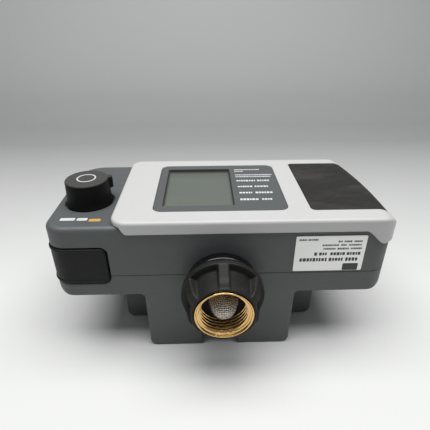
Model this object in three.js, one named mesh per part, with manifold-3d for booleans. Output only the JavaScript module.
// Four-outlet hose-tap irrigation timer, lying on its back with the display up.
// Millimetres, +Z up. It is built with x = 0 on the inlet's axis, y = 0 on the face that the inlet
// stands on, and z = 0 on the surface it lies on, and then moved so that the origin is at the
// centre of its footprint.
import * as THREE from "three";
import { mergeVertices } from "three/addons/utils/BufferGeometryUtils.js";
import Module from "manifold-3d";

const wasm = await Module();
wasm.setup();

// ---------------------------------------------------------------- driving dimensions

const GAP = 0.3; // between pieces that lie against each other
const WALL = 2.6;
const QUARTER_STEPS = 3; // steps in a quarter of a rounded corner
const COARSE_ROUND = 10; // sides of turned pieces, by how much they show
const ROUND = 18;
const FINE_ROUND = 32;
const FAR = 120; // well outside the object, for pieces that only cut or limit others

const box = {
  halfWidth: 96.5,
  depth: 87.2,
  floorZ: 42,
  seamZ: 56.4,
  topZ: 87.8,
  cornerR: 11,
  farLeftR: 17,
  farRightR: 12,
  bottomEdgeR: 9,
  topEdgeR: 3,
  kneeY: 38, // past here the right end leans inwards
  lean: 0.14,
};

// The housing's end rolls over under the bezel as a quarter of an ellipse about this centre.
const roll = { x: 86.7, z: 80.6 };

const valveBlock = { x: -0.9, halfWidth: 43.9, draft: 0.4, depth: 25.7, edgeR: 4.5 };
const notch = { halfWidth: 11, height: 12, depth: 14, r: 4, footR: 1 };
const pods = { halfWidth: 63.5, edgeR: 5 };
const valveBay = { halfWidth: 83.5, startY: 52.5, bottomZ: 8, edgeR: 6 };

const bezel = {
  left: -60,
  right: 97.7,
  near: -1.5,
  topZ: 91.6,
  nearLeftR: 9.5,
  farLeftR: 7,
  lipZ: 84,
  lipLeft: -51.3,
  lipRun: 4.8, // the lip sweeps down along this much of the near edge
  lipRight: 77,
  endX: 89.5,
  endZ: 75.5,
};

const display = {
  left: -38,
  right: 37.5,
  near: 10.8,
  far: 76.6,
  cornerR: 5,
  topZ: 91.2,
  window: { left: -33.3, right: 7.9, near: 17.9, far: 71 },
  lensTopZ: 89.5,
  lensThick: 1,
  moduleZ: 79.5,
};

const endPanel = { left: 50.2, near: 10.3, far: 78.9, bottomZ: 77.3, cornerR: 2.5 };

const door = { right: -63.3, far: 60, bottomZ: 51.3, topZ: 75, proud: 0.8, cornerR: 4 };

const dial = {
  x: -77.7,
  y: 32.5,
  baseR: 13.7,
  neckR: 12.7,
  topR: 12.2,
  baseZ: 87.6,
  topZ: 102.4,
  shell: 1.8,
  hubR: 6,
  wellR: 14.2,
  wellZ: 86.2,
  bossR: 17,
  bossDrop: 2.7,
  collarBoreR: 6.2,
  shaftR: 3,
  shaftFootZ: 78.4,
  nubTurn: 20, // degrees from +X
  nubHalf: 2.1,
  nubR: 14.6,
  nubTall: 7.2,
  markR: 5.6,
  markWidth: 0.9,
};

const thrust = { boreR: 3.3, r: 5.8, z: 83.2, thick: 1.6 };
const encoder = { half: 5.4, thick: 3, turretR: 5, turretHeight: 4 };

const inlet = { z: 50.9, frontY: -28.1, brassR: 15.5, threadRootR: 13.6, threadMinorR: 12.35, turns: 4 };
const washer = { boreR: 7.2, lipR: 8.9, outerR: 13.2, thick: 2.2 };
const filter = { baseR: 8.6, noseR: 7.2, tipY: -27, thick: 0.5, steps: 4 };
const hosePitch = 2.21; // 11.5 threads to the inch

const collar = {
  backY: -10,
  flangeY: -13.6,
  ribFrontY: -24,
  frontY: -27.5,
  flangeR: 23,
  ribBackR: 22.7,
  ribFrontR: 20.3,
  faceR: 17.2,
  floorR: 18.3,
  ribs: 6,
  ribWidth: 5.8,
};

const neck = {
  flangeR: 20.2,
  flangeY: -5.5,
  barrelR: 11,
  lipR: 13,
  lipThick: 2.2,
  frontY: -14.5,
  boreR: 7.5,
  plugR: 13.2,
  plugY: 14,
};

const outlet = {
  xs: [-66, -22, 22, 66],
  z: 38,
  endY: 106,
  flangeR: 15.2,
  flangeThick: 3.4,
  threadR: 13.4,
  threadDepth: 1.2,
  ridges: 6,
  boreR: 8.5,
  spigotR: 10.6,
};

// The cord in the joint between the two shells.
const seal = { lipInset: 1.2, depth: 0.9, width: 1.1 };

const valve = { y: 69, cupR: 13, cupTopZ: 46.5, chamberR: 10.5, seatR: 6, channelR: 4 };
const cup = { skirt: 0.7, wall: 0.6, chamberZ: 33, seatZ: 30, bleedR: 1.9, bleedX: 8 };
const bonnet = { z: 48.6, tubeR: 4.6, boreR: 3.4, flange: 1.6, height: 20, depth: 15 };
const coil = { z: 50.5, boreR: 4.9, flangeR: 9, woundR: 8, flange: 1.4, height: 22 };
const plungerRod = { z: 48.7, r: 3.1, tipR: 1.4, taper: 1.6, length: 12 };
const membrane = { r: 12.6, thick: 1.2, hub: 1.5, hubR: 4, foldR: [5, 8], foldThick: 0.8, rimR: 9 };
const header = { z: 22, r: 9, boreR: 6.4, halfLength: 79 };
const feedPipe = { y: 40, r: 10, boreR: 7 };

const board = { z: 75.5, thick: 1.6, left: -84, right: 82, near: 15, far: 80, cornerR: 3 };
const screwSpots = [
  [88, 44],
  [-88.5, 75],
  [90, 9],
  [-24, 9],
];
const post = { r: 4, columnR: 4.4, pilotR: 1.9, headR: 3.3, headZ: 46 };
const screwSize = { headR: 2.8, shankR: 1.5, headZ: 43.6, shankZ: 45.4, tipZ: 62, endZ: 63.4 };
const standoff = { r: 3, height: 9 };
const standoffSpots = [
  [-50, 20],
  [72, 20],
  [-50, 76],
  [72, 76],
];
const cell = { r: 7.1, length: 49.7, pitch: 14.4, firstX: -84.9, count: 4 };
const tray = { left: -93.6, right: -33, near: 2.9, far: 57.4, bottomZ: 52, topZ: 72, wall: 1.5 };
const bay = { left: -92.5, near: 3.4, wall: 1.2, endWall: 1.4, endGap: 2.5, farGap: 1.7 };
const label = { left: 40.35, right: 79.65, bottomZ: 57.6, topZ: 81, cornerR: 0.8, thick: 0.3 };

// ---------------------------------------------------------------- solids

// One closed surface with shared vertices, faces outwards.
function solid(geometry) {
  const loose = geometry.index ? geometry.toNonIndexed() : geometry;
  const bare = new THREE.BufferGeometry();
  bare.setAttribute("position", loose.getAttribute("position"));
  const merged = mergeVertices(bare, 1e-4);
  const index = merged.index.array;
  const kept = [];
  for (let i = 0; i < index.length; i += 3) {
    const [a, b, c] = [index[i], index[i + 1], index[i + 2]];
    if (a !== b && b !== c && c !== a) kept.push(a, b, c);
  }
  const vertProperties = merged.attributes.position.array;
  const make = (triVerts) =>
    new wasm.Manifold(new wasm.Mesh({ numProp: 3, vertProperties, triVerts }));
  const made = make(new Uint32Array(kept));
  return made.volume() > 0 ? made : make(new Uint32Array(kept.reverse()));
}

function join(first, ...others) {
  return others.reduce((sum, other) => sum.add(other), first);
}

function cut(first, ...others) {
  return others.reduce((rest, other) => rest.subtract(other), first);
}

function block(x0, x1, y0, y1, z0, z1) {
  const shape = new THREE.BoxGeometry(x1 - x0, y1 - y0, z1 - z0);
  return solid(shape.translate((x0 + x1) / 2, (y0 + y1) / 2, (z0 + z1) / 2));
}

// A straight round bar from a point, along "x", "y" or "z".
function rod(axis, radius, [x, y, z], length, sides = ROUND) {
  const shape = new THREE.CylinderGeometry(radius, radius, length, sides);
  shape.translate(0, length / 2, 0);
  if (axis === "z") shape.rotateX(Math.PI / 2);
  if (axis === "x") shape.rotateZ(-Math.PI / 2);
  return solid(shape.translate(x, y, z));
}

function ball(radius, [x, y, z]) {
  return solid(new THREE.SphereGeometry(radius, COARSE_ROUND, COARSE_ROUND / 2).translate(x, y, z));
}

// A profile of [radius, height] points, closed on itself, turned about a line along Y or Z.
function turned(axis, profile, [a, b], sides = ROUND) {
  const first = profile[0];
  const closed = first[0] === 0 ? profile : [...profile, first];
  const points = closed.map(([r, h]) => new THREE.Vector2(r, h));
  const shape = new THREE.LatheGeometry(points, sides);
  if (axis === "z") return solid(shape.rotateX(Math.PI / 2).translate(a, b, 0));
  return solid(shape.translate(a, 0, b));
}

function turnedY(profile, x, z, sides) {
  return turned("y", profile, [x, z], sides);
}

function turnedZ(profile, x, y, sides) {
  return turned("z", profile, [x, y], sides);
}

// An outline pushed through a thickness: its plane's two directions and the way it is pushed.
const PLANES = {
  z: [new THREE.Vector3(1, 0, 0), new THREE.Vector3(0, 1, 0), new THREE.Vector3(0, 0, 1)],
  y: [new THREE.Vector3(1, 0, 0), new THREE.Vector3(0, 0, 1), new THREE.Vector3(0, -1, 0)],
  x: [new THREE.Vector3(0, 1, 0), new THREE.Vector3(0, 0, 1), new THREE.Vector3(1, 0, 0)],
};

function prism(axis, outline, from, to, bevel = 0) {
  const shape = new THREE.ExtrudeGeometry(outline, {
    depth: to - from - 2 * bevel,
    curveSegments: QUARTER_STEPS,
    bevelEnabled: bevel > 0,
    bevelSize: bevel,
    bevelThickness: bevel,
    bevelOffset: -bevel,
    bevelSegments: 3,
  });
  const start = axis === "y" ? -to : from;
  shape.translate(0, 0, start + bevel);
  return solid(shape.applyMatrix4(new THREE.Matrix4().makeBasis(...PLANES[axis])));
}

// A rectangle with its corners rounded by one radius, or by four from the lowest corner round.
function roundedRect(x0, y0, x1, y1, radius) {
  const [a, b, c, d] = Array.isArray(radius) ? radius : [radius, radius, radius, radius];
  const shape = new THREE.Shape();
  shape.moveTo(x0 + a, y0);
  shape.lineTo(x1 - b, y0);
  shape.absarc(x1 - b, y0 + b, b, -Math.PI / 2, 0);
  shape.lineTo(x1, y1 - c);
  shape.absarc(x1 - c, y1 - c, c, 0, Math.PI / 2);
  shape.lineTo(x0 + d, y1);
  shape.absarc(x0 + d, y1 - d, d, Math.PI / 2, Math.PI);
  shape.lineTo(x0, y0 + a);
  shape.absarc(x0 + a, y0 + a, a, Math.PI, 1.5 * Math.PI);
  return shape;
}

// A rounded rectangle whose right side leans inwards past the knee.
function leaningPlan(x0, y0, x1, y1, [a, b, c, d]) {
  const { kneeY, lean } = box;
  const cornerY = y1 - c;
  const cornerX = x1 - c * Math.cos(lean) - (cornerY - kneeY + c * Math.sin(lean)) * Math.tan(lean);
  const shape = new THREE.Shape();
  shape.moveTo(x0 + a, y0);
  shape.lineTo(x1 - b, y0);
  shape.absarc(x1 - b, y0 + b, b, -Math.PI / 2, 0);
  shape.lineTo(x1, kneeY);
  shape.absarc(cornerX, cornerY, c, lean, Math.PI / 2);
  shape.lineTo(x0 + d, y1);
  shape.absarc(x0 + d, y1 - d, d, Math.PI / 2, Math.PI);
  shape.lineTo(x0, y0 + a);
  shape.absarc(x0 + a, y0 + a, a, Math.PI, 1.5 * Math.PI);
  return shape;
}

// A solid that is straight along Y, made to lean inwards at its right end. Its length must reach
// well past the box, and so must its left side.
function leaned(straight) {
  const { halfWidth, kneeY, lean } = box;
  const turned = straight
    .translate([-halfWidth, -kneeY, 0])
    .rotate([0, 0, THREE.MathUtils.radToDeg(lean)])
    .translate([halfWidth, kneeY, 0]);
  return straight.intersect(turned);
}

// The control box's plan outline, grown or, with a negative number, shrunk.
function boxPlan(grow) {
  const { halfWidth, depth, cornerR, farLeftR, farRightR } = box;
  const radii = [cornerR, cornerR, farRightR, farLeftR].map((radius) => radius + grow);
  return leaningPlan(-halfWidth - grow, -grow, halfWidth + grow, depth + grow, radii);
}

// Everything under a top at a height, whose right end rolls over as a quarter of an ellipse.
function underRoll(right, topZ) {
  const shape = new THREE.Shape();
  shape.moveTo(-2 * FAR, 0);
  shape.lineTo(right, 0);
  shape.lineTo(right, roll.z);
  shape.absellipse(roll.x, roll.z, right - roll.x, topZ - roll.z, 0, Math.PI / 2);
  shape.lineTo(-2 * FAR, topZ);
  return leaned(prism("y", shape, -FAR, 2 * FAR));
}

function underBoxRoll(grow) {
  return underRoll(box.halfWidth + grow, box.topZ + grow);
}

// The opening that the battery door closes, cut through both shells.
function doorOpening() {
  const { right, far, bottomZ, topZ } = door;
  const outside = -box.halfWidth - 5;
  const pastCorner = WALL + 4;
  const nearPart = block(outside, right + GAP, -5, pastCorner, bottomZ - GAP, topZ + GAP);
  const endPart = block(outside, pastCorner - box.halfWidth, -5, far + GAP, bottomZ - GAP, topZ + GAP);
  return join(nearPart, endPart);
}

function neckHole() {
  return rod("y", neck.plugR + 0.4, [0, -5, inlet.z], 20);
}

// ---------------------------------------------------------------- shells

function frontHousing() {
  const { seamZ, topZ, topEdgeR } = box;
  const outside = cut(
    prism("z", boxPlan(0), seamZ - 10, topZ, topEdgeR).intersect(underBoxRoll(0)),
    block(-FAR, FAR, -FAR, FAR, seamZ - 20, seamZ),
  );
  const roofZ = topZ - WALL;
  const inside = prism("z", boxPlan(-WALL), seamZ - 1, roofZ).intersect(underBoxRoll(-WALL));
  const posts = screwSpots.map(([x, y]) => rod("z", post.r, [x, y, seamZ], roofZ - seamZ + 1, COARSE_ROUND));
  const boardTop = board.z + board.thick + GAP;
  const standoffs = standoffSpots.map(([x, y]) =>
    rod("z", standoff.r, [x, y, boardTop], standoff.height, COARSE_ROUND),
  );
  const dialBoss = rod("z", dial.bossR, [dial.x, dial.y, roofZ - dial.bossDrop], dial.bossDrop + GAP);
  const inner = join(...posts, ...standoffs, dialBoss).intersect(outside);
  const { window } = display;
  const bossZ = roofZ - dial.bossDrop;
  const pilots = screwSpots.map(([x, y]) => rod("z", post.pilotR, [x, y, seamZ - 1], 9, COARSE_ROUND));
  return cut(
    join(cut(outside, inside), inner),
    block(window.left - GAP, window.right + GAP, window.near - GAP, window.far + GAP, roofZ - 5, topZ + 1),
    rod("z", dial.wellR, [dial.x, dial.y, dial.wellZ], topZ - dial.wellZ + 1, FINE_ROUND),
    rod("z", dial.collarBoreR, [dial.x, dial.y, bossZ - 1], dial.bossDrop + 1),
    rod("z", dial.shaftR + 2 * GAP, [dial.x, dial.y, bossZ], topZ - bossZ),
    doorOpening(),
    neckHole(),
    ...pilots,
  );
}

// The box's lower half, with its bottom edges rounded at the two ends.
function tubEnds(inset) {
  const right = box.halfWidth - inset;
  const radius = box.bottomEdgeR - inset;
  const section = (left) => roundedRect(left, box.floorZ + inset, right, box.topZ, [radius, radius, 1, 1]);
  const leaning = leaned(prism("y", section(-2 * FAR), -FAR, 2 * FAR));
  return leaning.intersect(prism("y", section(-right), inset, box.depth - inset));
}

// A valve housing's section: straight sides with a little draft, and rounded bottom edges.
function valveSection(halfWidth, bottomZ, edgeR, inset, draft = 0) {
  const low = halfWidth - inset;
  const high = low + draft;
  const bottom = bottomZ + inset;
  const shape = new THREE.Shape();
  shape.moveTo(-low + edgeR, bottom);
  shape.lineTo(low - edgeR, bottom);
  shape.absarc(low - edgeR, bottom + edgeR, edgeR, -Math.PI / 2, 0);
  shape.lineTo(high, box.floorZ + WALL);
  shape.lineTo(-high, box.floorZ + WALL);
  shape.lineTo(-low, bottom + edgeR);
  shape.absarc(-low + edgeR, bottom + edgeR, edgeR, Math.PI, 1.5 * Math.PI);
  return shape;
}

function rearHousing() {
  const { seamZ, floorZ, depth } = box;
  const topZ = seamZ - GAP;
  const levels = (inset) => {
    const [near, far] = [inset, depth - inset];
    const lid = inset ? topZ + 1 : topZ;
    const tub = prism("z", boxPlan(-inset), floorZ - 1, lid).intersect(tubEnds(inset));
    const { x, halfWidth, draft, edgeR } = valveBlock;
    const blockPart = prism("y", valveSection(halfWidth, 0, edgeR, inset, draft), near, far).translate([x, 0, 0]);
    const podPart = prism(
      "y",
      valveSection(pods.halfWidth, 0, pods.edgeR, inset),
      valveBlock.depth + inset,
      far,
    );
    const bayPart = prism(
      "y",
      valveSection(valveBay.halfWidth, valveBay.bottomZ, valveBay.edgeR, inset),
      valveBay.startY + inset,
      far,
    );
    return join(tub, blockPart, podPart, bayPart);
  };
  const notchPrism = (grow) => {
    const half = notch.halfWidth + grow;
    const radii = [notch.footR, notch.footR, notch.r, notch.r];
    const arch = roundedRect(-half, -5, half, notch.height + grow, radii);
    return prism("y", arch, -1, notch.depth + grow).translate([valveBlock.x, 0, 0]);
  };
  const outside = levels(0);
  const inside = cut(levels(WALL), notchPrism(WALL));
  const columns = screwSpots.map(([x, y]) => rod("z", post.columnR, [x, y, 0], topZ, COARSE_ROUND));
  const columnsInside = join(...columns).intersect(outside);
  const { lipInset, depth: sealDepth, width: sealWidth } = seal;
  const rim = cut(
    prism("z", boxPlan(-lipInset), topZ - sealDepth - GAP, topZ + 1),
    prism("z", boxPlan(-lipInset - sealWidth - 2 * GAP), topZ - 3, topZ + 2),
  );
  return cut(
    join(cut(outside, inside), columnsInside),
    notchPrism(0),
    rim,
    doorOpening(),
    neckHole(),
    ...screwSpots.map(([x, y]) => rod("z", post.pilotR, [x, y, -1], seamZ + 1, COARSE_ROUND)),
    ...screwSpots.map(([x, y]) => rod("z", post.headR, [x, y, -1], post.headZ + 1, COARSE_ROUND)),
    ...outlet.xs.map((x) => rod("y", outlet.spigotR + 0.4, [x, depth - 2 * WALL, outlet.z], 3 * WALL)),
  );
}

// Rubber cords in the step between the two shells: a long one, and a short one between the
// battery door and the neck, which both interrupt it.
function housingSeal(isShort) {
  const topZ = box.seamZ - GAP;
  const outerInset = seal.lipInset + GAP;
  const ring = cut(
    prism("z", boxPlan(-outerInset), topZ - seal.depth, topZ),
    prism("z", boxPlan(-outerInset - seal.width), topZ - 3, topZ + 1),
  );
  const passage = block(-FAR, door.right + 2, -FAR, door.far + 2, 40, 70);
  const open = cut(ring, passage, rod("y", neck.plugR + 0.8, [0, -5, inlet.z], 20));
  const shortPart = block(door.right, 0, -5, WALL + 2, 40, 70);
  return isShort ? open.intersect(shortPart) : open.subtract(shortPart);
}

function screw([x, y]) {
  const { headR, shankR, headZ, shankZ, tipZ, endZ } = screwSize;
  const profile = [
    [0, headZ],
    [headR, headZ],
    [headR, shankZ],
    [shankR, shankZ],
    [shankR, tipZ],
    [0, endZ],
  ];
  return turnedZ(profile, x, y, COARSE_ROUND);
}

// ---------------------------------------------------------------- face

// The bezel's and the end panel's common outside: flat, then rolled over the right end.
function bezelOutside() {
  const { left, right, near, topZ, nearLeftR, farLeftR } = bezel;
  const overhang = right - box.halfWidth;
  const radii = [nearLeftR, box.cornerR + overhang, box.farRightR + overhang, farLeftR];
  const plan = leaningPlan(left, near, right, box.depth, radii);
  return prism("z", plan, box.seamZ, topZ).intersect(underRoll(right, topZ));
}

// The housing with a hair of air round it, which the pieces laid over it are cut by.
function housingClearance() {
  return prism("z", boxPlan(GAP), 0, FAR).intersect(underBoxRoll(GAP));
}

function endPanelPrism(grow) {
  const { left, near, far, bottomZ, cornerR } = endPanel;
  const plan = roundedRect(left - grow, near - grow, FAR, far + grow, cornerR + grow);
  return prism("z", plan, bottomZ - grow, FAR);
}

function displayOutline(grow) {
  const { left, right, near: nearY, far, cornerR } = display;
  return roundedRect(left - grow, nearY - grow, right + grow, far + grow, cornerR + grow);
}

function bezelPlate() {
  const { left, lipLeft, lipRun, lipRight, lipZ, endX, endZ } = bezel;
  const middle = lipLeft - lipRun / 2;
  // What the lip's lower edge leaves open: it sweeps down at the left and follows the rolled end.
  const under = new THREE.Shape();
  under.moveTo(left - 5, 0);
  under.lineTo(FAR, 0);
  under.lineTo(FAR, endZ);
  under.lineTo(endX, endZ);
  under.bezierCurveTo(endX - 1.5, endZ + 5.5, endX - 5.5, lipZ, lipRight, lipZ);
  under.lineTo(lipLeft, lipZ);
  under.bezierCurveTo(middle, lipZ, middle, box.topZ, lipLeft - lipRun, box.topZ);
  under.lineTo(left - 5, box.topZ);
  return cut(
    bezelOutside(),
    housingClearance(),
    prism("y", under, -FAR, FAR),
    prism("z", displayOutline(GAP), box.topZ - 5, FAR),
    endPanelPrism(GAP),
  );
}

function endPanelPiece() {
  return cut(bezelOutside().intersect(endPanelPrism(0)), housingClearance());
}

function displayPanel() {
  const { topZ, window } = display;
  return cut(
    prism("z", displayOutline(0), box.topZ + GAP, topZ),
    block(window.left, window.right, window.near, window.far, box.topZ, topZ + 1),
  );
}

function inWindow(bottomZ, topZ) {
  const { left, right, near, far } = display.window;
  return block(left + GAP, right - GAP, near + GAP, far - GAP, bottomZ, topZ);
}

function lcdLens() {
  return inWindow(display.lensTopZ - display.lensThick, display.lensTopZ);
}

function lcdModule() {
  return inWindow(display.moduleZ, display.lensTopZ - display.lensThick - GAP);
}

function labelPiece() {
  const { left, right, bottomZ, topZ, cornerR, thick } = label;
  return prism("y", roundedRect(left, bottomZ, right, topZ, cornerR), -0.1 - thick, -0.1);
}

// ---------------------------------------------------------------- dial

function dialKnob() {
  const { x, y, baseR, neckR, topR, baseZ, topZ, shell, hubR, shaftR } = dial;
  const { nubTurn, nubHalf, nubR, nubTall } = dial;
  const roofZ = topZ - shell - 1.2;
  const hubZ = baseZ + shell;
  const profile = [
    [0, topZ],
    [topR - 0.7, topZ],
    [topR, topZ - 0.7],
    [neckR, baseZ + 5],
    [neckR + 0.6, baseZ + 2.2],
    [baseR, baseZ + 0.6],
    [baseR, baseZ],
    [baseR - 2.4, baseZ],
    [topR - shell, baseZ + 5],
    [topR - shell, roofZ],
    [hubR, roofZ],
    [hubR, hubZ],
    [0, hubZ],
  ];
  const body = turnedZ(profile, x, y, FINE_ROUND);
  const nubOutline = roundedRect(topR - 1.5, -nubHalf, nubR, nubHalf, 1.2);
  const finger = prism("z", nubOutline, topZ - GAP - nubTall, topZ - GAP);
  const turnedFinger = finger.rotate([0, 0, nubTurn]).translate([x, y, 0]);
  const shaftRoom = rod("z", shaftR + GAP, [x, y, baseZ], roofZ - 0.5 - baseZ);
  return cut(join(body, turnedFinger), shaftRoom);
}

// The raised ring printed on the knob's top, so that its turn shows.
function dialMark() {
  const { x, y, topZ, markR, markWidth } = dial;
  const [bottom, top] = [topZ + 0.02, topZ + 0.2];
  const profile = [
    [markR - markWidth, bottom],
    [markR, bottom],
    [markR, top],
    [markR - markWidth, top],
  ];
  return turnedZ(profile, x, y, ROUND);
}

function dialShaft() {
  const { x, y, shaftR, topZ, shaftFootZ } = dial;
  return rod("z", shaftR, [x, y, shaftFootZ], topZ - 4 - shaftFootZ, COARSE_ROUND);
}

function dialThrustCollar() {
  const { boreR, r, z, thick } = thrust;
  const profile = [
    [boreR, z],
    [r, z],
    [r, z + thick],
    [boreR, z + thick],
  ];
  return turnedZ(profile, dial.x, dial.y);
}

function ringSection(radius, half, height) {
  return [0, 1, 2, 3, 4, 5].map((i) => {
    const turn = (i * Math.PI) / 3;
    return [radius + half * Math.cos(turn), height + half * Math.sin(turn)];
  });
}

function dialSeal() {
  return turnedZ(ringSection(4.2, 0.7, dial.wellZ + 0.8), dial.x, dial.y);
}

function dialEncoder() {
  const { x, y } = dial;
  const base = board.z + board.thick + GAP;
  const { half, thick, turretR, turretHeight } = encoder;
  const body = block(x - half, x + half, y - half, y + half, base, base + thick);
  return cut(
    join(body, rod("z", turretR, [x, y, base], turretHeight)),
    rod("z", dial.shaftR + 0.4, [x, y, base - 1], 8, COARSE_ROUND),
  );
}

// ---------------------------------------------------------------- battery drawer

function batteryDoor() {
  const { right, far, bottomZ, topZ, proud, cornerR } = door;
  const shell = cut(
    prism("z", boxPlan(proud), bottomZ, topZ),
    prism("z", boxPlan(-WALL + GAP), bottomZ - 1, topZ + 1),
  );
  const fromNear = prism("y", roundedRect(-110, bottomZ, right, topZ, cornerR), -5, 100);
  const fromEnd = prism("x", roundedRect(-20, bottomZ, far, topZ, cornerR), -110, -60);
  return shell.intersect(fromNear).intersect(fromEnd);
}

function batteryTray() {
  const { left, right, near, far, bottomZ, topZ, wall } = tray;
  const outline = block(left, right, near, far, bottomZ, topZ);
  const pocket = block(left + wall, right - wall, near + wall, far - wall, bottomZ + 2, topZ + 1);
  const fingerDip = rod("y", 9, [(left + right) / 2, near - 1, topZ + 3], wall + 2);
  return cut(
    outline,
    pocket,
    fingerDip,
    prism("z", cornerWaste(), bottomZ - 1, topZ + 1),
  );
}

// The tray's outer near corner is cut to follow the door's round.
function cornerWaste() {
  const inner = box.cornerR - WALL;
  const centre = [-box.halfWidth + box.cornerR, box.cornerR];
  const shape = new THREE.Shape();
  shape.moveTo(centre[0] - inner - 5, centre[1]);
  shape.lineTo(centre[0] - inner + GAP, centre[1]);
  shape.absarc(centre[0], centre[1], inner - GAP, Math.PI, 1.5 * Math.PI);
  shape.lineTo(centre[0], centre[1] - inner - 5);
  shape.lineTo(centre[0] - inner - 5, centre[1] - inner - 5);
  return shape;
}

// A sleeve that the tray slides in: floor, roof, far side and inner end.
function batteryBay() {
  const { left, near, wall, endWall } = bay;
  const [endX, endY] = [tray.right + bay.endGap, tray.far + bay.farGap];
  const [bottomZ, topZ] = [tray.bottomZ - GAP - wall, tray.topZ + 2 * GAP + wall];
  return join(
    block(left, endX, near, endY, bottomZ, bottomZ + wall),
    block(left, endX, near, endY, topZ - wall, topZ),
    block(left, endX, endY - wall, endY, bottomZ, topZ),
    block(endX - endWall, endX, near, endY, bottomZ, topZ),
  ).subtract(block(-110, -box.halfWidth + box.cornerR, -5, box.cornerR, 40, 80));
}

function contactStrip(y) {
  const { left, right, bottomZ, wall } = tray;
  return block(left + 9, right - wall - 2, y, y + GAP, bottomZ + 5, bottomZ + 14);
}

function batteryCell(i) {
  const start = tray.near + tray.wall + 0.9;
  const profile = [
    [0, start],
    [cell.r - 0.5, start],
    [cell.r, start + 0.5],
    [cell.r, start + cell.length - 1.9],
    [cell.r - 0.5, start + cell.length - 1.4],
    [2.7, start + cell.length - 1.4],
    [2.7, start + cell.length],
    [0, start + cell.length],
  ];
  return turnedY(profile, cell.firstX + i * cell.pitch, tray.bottomZ + 2 + GAP + cell.r, COARSE_ROUND);
}

function circuitBoard() {
  const { z, thick, left, right, near, far, cornerR } = board;
  return prism("z", roundedRect(left, near, right, far, cornerR), z, z + thick);
}

// ---------------------------------------------------------------- inlet

function inletNeck() {
  const { flangeR, flangeY, barrelR, lipR, lipThick, frontY, boreR, plugR, plugY } = neck;
  const profile = [
    [boreR, frontY],
    [lipR, frontY],
    [lipR, frontY + lipThick],
    [barrelR, frontY + lipThick],
    [barrelR, flangeY],
    [flangeR - 0.8, flangeY],
    [flangeR, flangeY + 0.8],
    [flangeR, -GAP],
    [plugR, -GAP],
    [plugR, plugY],
    [boreR, plugY],
  ];
  return turnedY(profile, 0, inlet.z, FINE_ROUND);
}

function neckSeal() {
  const half = 1.5;
  return turnedY(ringSection(neck.barrelR + GAP + half, half, neck.flangeY - half - 0.4), 0, inlet.z);
}

function swivelCollar() {
  const { backY, flangeY, ribFrontY, frontY, flangeR, ribBackR, ribFrontR, faceR } = collar;
  const { floorR, ribs, ribWidth } = collar;
  const boreR = inlet.brassR + GAP;
  const bore = [
    [boreR, frontY],
    [boreR, backY - 2],
    [neck.barrelR + GAP, backY - 2],
    [neck.barrelR + GAP, backY],
  ];
  const waisted = [
    ...bore,
    [flangeR - 0.6, backY],
    [flangeR, backY - 0.6],
    [flangeR, flangeY],
    [floorR, flangeY],
    [faceR, frontY],
  ];
  const envelope = [
    [boreR + 0.5, flangeY + 1],
    [ribBackR, flangeY + 1],
    [ribBackR, flangeY],
    [ribFrontR, ribFrontY],
    [faceR, frontY],
    [boreR + 0.5, frontY],
  ];
  const bars = [];
  for (let i = 0; i < ribs / 2; i++) {
    const bar = block(-ribWidth / 2, ribWidth / 2, frontY, flangeY + 1, -flangeR, flangeR);
    bars.push(bar.rotate([0, (i * 360) / ribs, 0]).translate([0, 0, inlet.z]));
  }
  const ring = turnedY(envelope, 0, inlet.z, FINE_ROUND);
  return join(turnedY(waisted, 0, inlet.z, FINE_ROUND), join(...bars).intersect(ring));
}

function brassInsert() {
  const { frontY, brassR, threadRootR, threadMinorR, turns, z } = inlet;
  const backY = neck.frontY - GAP;
  const profile = [
    [brassR, backY],
    [brassR, frontY + 0.3],
    [brassR - 0.3, frontY],
    [threadRootR + 0.8, frontY],
  ];
  const firstY = frontY + 1.4;
  for (let i = 0; i < turns; i++) {
    const y = firstY + i * hosePitch;
    profile.push([threadRootR, y], [threadMinorR, y + 0.45 * hosePitch]);
  }
  const lastY = firstY + turns * hosePitch;
  profile.push([threadRootR, lastY], [threadRootR, backY]);
  return turnedY(profile, 0, z, FINE_ROUND);
}

function hoseWasher() {
  const { boreR, lipR, outerR, thick } = washer;
  const backY = neck.frontY - GAP;
  const profile = [
    [boreR, backY],
    [outerR, backY],
    [outerR, backY - thick],
    [lipR, backY - thick],
    [boreR, backY - 0.7 * thick],
  ];
  return turnedY(profile, 0, inlet.z);
}

// A blunt dome of steel mesh, drawn as a thin shell open at its base.
function filterScreen() {
  const { baseR, noseR, tipY, thick, steps } = filter;
  const baseY = neck.frontY - GAP - washer.thick - GAP;
  const outer = [];
  const inner = [];
  for (let i = 0; i <= steps; i++) {
    const turn = ((Math.PI / 2) * i) / steps;
    outer.push([noseR * Math.sin(turn), tipY + noseR * (1 - Math.cos(turn))]);
    const r = (noseR - thick) * Math.sin(turn);
    inner.push([r, tipY + thick + (noseR - thick) * (1 - Math.cos(turn))]);
  }
  outer.push([baseR, baseY]);
  inner.push([baseR - thick, baseY]);
  return turnedY([...outer, ...inner.reverse()], 0, inlet.z);
}

// ---------------------------------------------------------------- waterways

function pipe(radius, feedRadius) {
  const { y: bendY } = feedPipe;
  const inletEnd = [0, neck.plugY + GAP, inlet.z];
  return join(
    rod("y", feedRadius, inletEnd, bendY - inletEnd[1], COARSE_ROUND),
    ball(feedRadius, [0, bendY, inlet.z]),
    rod("z", feedRadius, [0, bendY, header.z], inlet.z - header.z, COARSE_ROUND),
    ball(feedRadius, [0, bendY, header.z]),
    rod("y", radius, [0, bendY, header.z], valve.y - bendY, COARSE_ROUND),
  );
}

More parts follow.
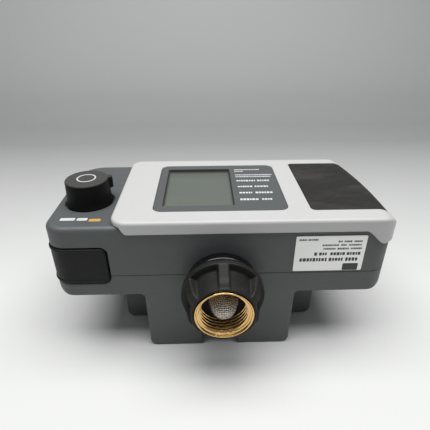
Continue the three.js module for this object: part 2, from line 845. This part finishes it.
function waterManifold() {
  const { y, cupR, cupTopZ, chamberR, seatR, channelR } = valve;
  const { skirt, wall, chamberZ, seatZ, bleedR, bleedX } = cup;
  const { z, r, boreR, halfLength } = header;
  const cups = outlet.xs.map((x) => rod("z", cupR, [x, y, z], cupTopZ - z));
  const chambers = outlet.xs.map((x) => rod("z", chamberR, [x, y, chamberZ], 20, COARSE_ROUND));
  const seats = outlet.xs.flatMap((x) => [
    rod("z", seatR, [x, y, seatZ], cupTopZ - skirt - seatZ, COARSE_ROUND),
    rod("y", seatR, [x, y, outlet.z], cupR - wall, COARSE_ROUND),
  ]);
  const ports = outlet.xs.flatMap((x) => [
    rod("z", channelR, [x, y, outlet.z], 20, 12),
    ball(channelR, [x, y, outlet.z]),
    rod("y", channelR, [x, y, outlet.z], 30, 12),
    rod("z", bleedR, [x + bleedX, y, z], 12, 8),
  ]);
  const body = join(rod("x", r, [-halfLength, y, z], 2 * halfLength, COARSE_ROUND), pipe(r, feedPipe.r), ...cups);
  return cut(
    join(cut(body, ...chambers), ...seats),
    ...ports,
    rod("x", boreR, [-halfLength + 3, y, z], 2 * halfLength - 6, COARSE_ROUND),
    pipe(boreR, feedPipe.boreR),
    rod("y", feedPipe.boreR, [0, 10, inlet.z], 10, COARSE_ROUND),
  );
}

function diaphragm(x) {
  const base = valve.cupTopZ + GAP;
  const { r, thick, hub, hubR, foldR, foldThick, rimR } = membrane;
  const profile = [
    [0, base],
    [r, base],
    [r, base + thick],
    [rimR, base + thick],
    [foldR[1], base + foldThick],
    [foldR[0], base + foldThick],
    [hubR, base + hub],
    [0, base + hub],
  ];
  return turnedZ(profile, x, valve.y, COARSE_ROUND);
}

function valveBonnet(x) {
  const { z, tubeR, boreR, flange, height, depth } = bonnet;
  const profile = [
    [boreR, z],
    [valve.cupR, z],
    [valve.cupR, z + flange],
    [tubeR, z + flange],
    [tubeR, z + height],
    [0, z + height],
    [0, z + depth],
    [boreR, z + depth],
  ];
  return turnedZ(profile, x, valve.y, COARSE_ROUND);
}

function solenoidCoil(x) {
  const { z, boreR, flangeR, woundR, flange, height } = coil;
  const profile = [
    [boreR, z],
    [flangeR, z],
    [flangeR, z + flange],
    [woundR, z + flange],
    [woundR, z + height - flange],
    [flangeR, z + height - flange],
    [flangeR, z + height],
    [boreR, z + height],
  ];
  return turnedZ(profile, x, valve.y, COARSE_ROUND);
}

function plunger(x) {
  const { z, r, tipR, taper, length } = plungerRod;
  const profile = [
    [0, z],
    [tipR, z],
    [r, z + taper],
    [r, z + length],
    [0, z + length],
  ];
  return turnedZ(profile, x, valve.y, COARSE_ROUND);
}

function outletNipple(x) {
  const { endY, flangeR, flangeThick, threadR, threadDepth, ridges, boreR, spigotR, z } = outlet;
  const innerY = valve.y + valve.cupR + 0.5;
  const wallY = box.depth + GAP;
  const profile = [
    [valve.channelR + 0.2, innerY],
    [spigotR, innerY],
    [spigotR, wallY],
    [flangeR, wallY],
    [flangeR, wallY + flangeThick],
    [threadR - threadDepth, wallY + flangeThick],
  ];
  const firstY = endY - 1.2 - ridges * hosePitch;
  for (let i = 0; i < ridges; i++) {
    const y = firstY + i * hosePitch;
    profile.push([threadR - threadDepth, y], [threadR, y + hosePitch / 2]);
  }
  profile.push([threadR - threadDepth, endY - 1.2], [threadR - threadDepth - 0.5, endY]);
  profile.push([boreR, endY], [boreR, wallY + 1], [valve.channelR + 0.2, wallY - 2]);
  return turnedY(profile, x, z);
}

// ---------------------------------------------------------------- materials

function plastic(color, roughness = 0.55) {
  return new THREE.MeshStandardMaterial({ color, roughness, metalness: 0 });
}

function metal(color, roughness = 0.35) {
  return new THREE.MeshStandardMaterial({ color, roughness, metalness: 1 });
}

const greyShell = plastic(0x6a6e6e);
const whiteShell = plastic(0xe6e6e3, 0.4);
const panelGrey = plastic(0x767a7a, 0.45);
const blackPlastic = plastic(0x1b1b1c, 0.5);
const glossBlack = plastic(0x0c0c0d, 0.2);
const collarPlastic = plastic(0x2b2a28, 0.6);
const dustyBlack = plastic(0x34322f, 0.6);
const rubber = plastic(0x161616, 0.85);
const innerPlastic = plastic(0x55585a, 0.6);
const lcdGreen = plastic(0x71786e, 0.35);
const clear = new THREE.MeshStandardMaterial({ color: 0xd5dcd4, roughness: 0.1, transparent: true, opacity: 0.35 });
const paper = plastic(0xd8d8d3, 0.6);
const markWhite = plastic(0xf0f0ee, 0.5);
const boardGreen = plastic(0x1f5a36, 0.4);
const brass = metal(0xcfa566, 0.25);
const steel = metal(0xb4b4b4, 0.35);
const copper = metal(0xa5603a, 0.35);
const cellJacket = plastic(0x2f3b52, 0.35);

// ---------------------------------------------------------------- assembly

function piece(name, shape, material) {
  const { numProp, vertProperties, triVerts, numVert } = shape.getMesh();
  const positions = new Float32Array(numVert * 3);
  for (let i = 0; i < numVert; i++) {
    positions.set(vertProperties.subarray(i * numProp, i * numProp + 3), i * 3);
  }
  const geometry = new THREE.BufferGeometry();
  geometry.setAttribute("position", new THREE.BufferAttribute(positions, 3));
  geometry.setIndex(new THREE.BufferAttribute(triVerts, 1));
  geometry.computeVertexNormals();
  const mesh = new THREE.Mesh(geometry, material);
  mesh.name = name;
  return mesh;
}

function shells() {
  const group = new THREE.Group();
  group.add(
    piece("front_housing", frontHousing(), greyShell),
    piece("rear_housing", rearHousing(), greyShell),
    piece("housing_seal_long", housingSeal(false), rubber),
    piece("housing_seal_short", housingSeal(true), rubber),
    ...screwSpots.map((spot, i) => piece(`housing_screw_${i + 1}`, screw(spot), steel)),
  );
  return group;
}

function face() {
  const group = new THREE.Group();
  group.add(
    piece("bezel_plate", bezelPlate(), whiteShell),
    piece("end_panel", endPanelPiece(), dustyBlack),
    piece("display_panel", displayPanel(), panelGrey),
    piece("lcd_lens", lcdLens(), clear),
    piece("lcd_module", lcdModule(), lcdGreen),
    piece("label", labelPiece(), paper),
    piece("circuit_board", circuitBoard(), boardGreen),
  );
  return group;
}

function dialGroup() {
  const group = new THREE.Group();
  group.add(
    piece("dial_knob", dialKnob(), blackPlastic),
    piece("dial_mark", dialMark(), markWhite),
    piece("dial_shaft", dialShaft(), steel),
    piece("dial_thrust_collar", dialThrustCollar(), steel),
    piece("dial_seal", dialSeal(), rubber),
    piece("dial_encoder", dialEncoder(), innerPlastic),
  );
  return group;
}

function batteryDrawer() {
  const group = new THREE.Group();
  group.add(
    piece("battery_door", batteryDoor(), blackPlastic),
    piece("battery_tray", batteryTray(), innerPlastic),
    piece("battery_bay", batteryBay(), innerPlastic),
    piece("contact_strip_near", contactStrip(tray.near + tray.wall + GAP), steel),
    piece("contact_strip_far", contactStrip(tray.far - tray.wall - 2 * GAP), steel),
  );
  for (let i = 0; i < cell.count; i++) {
    group.add(piece(`battery_cell_${i + 1}`, batteryCell(i), cellJacket));
  }
  return group;
}

function inletGroup() {
  const group = new THREE.Group();
  group.add(
    piece("inlet_neck", inletNeck(), glossBlack),
    piece("neck_seal", neckSeal(), rubber),
    piece("swivel_collar", swivelCollar(), collarPlastic),
    piece("brass_insert", brassInsert(), brass),
    piece("hose_washer", hoseWasher(), rubber),
    piece("filter_screen", filterScreen(), steel),
  );
  return group;
}

function waterworks() {
  const group = new THREE.Group();
  group.add(piece("water_manifold", waterManifold(), innerPlastic));
  outlet.xs.forEach((x, i) => {
    group.add(
      piece(`diaphragm_${i + 1}`, diaphragm(x), rubber),
      piece(`valve_bonnet_${i + 1}`, valveBonnet(x), innerPlastic),
      piece(`solenoid_coil_${i + 1}`, solenoidCoil(x), copper),
      piece(`plunger_${i + 1}`, plunger(x), steel),
      piece(`outlet_${i + 1}`, outletNipple(x), blackPlastic),
    );
  });
  return group;
}

const timer = new THREE.Group();
timer.add(shells(), face(), dialGroup(), batteryDrawer(), inletGroup(), waterworks());
const leftX = -box.halfWidth - door.proud;
timer.position.set(-(leftX + bezel.right) / 2, -(inlet.frontY + outlet.endY) / 2, 0);

const model = new THREE.Group();
model.add(timer);

export default model;
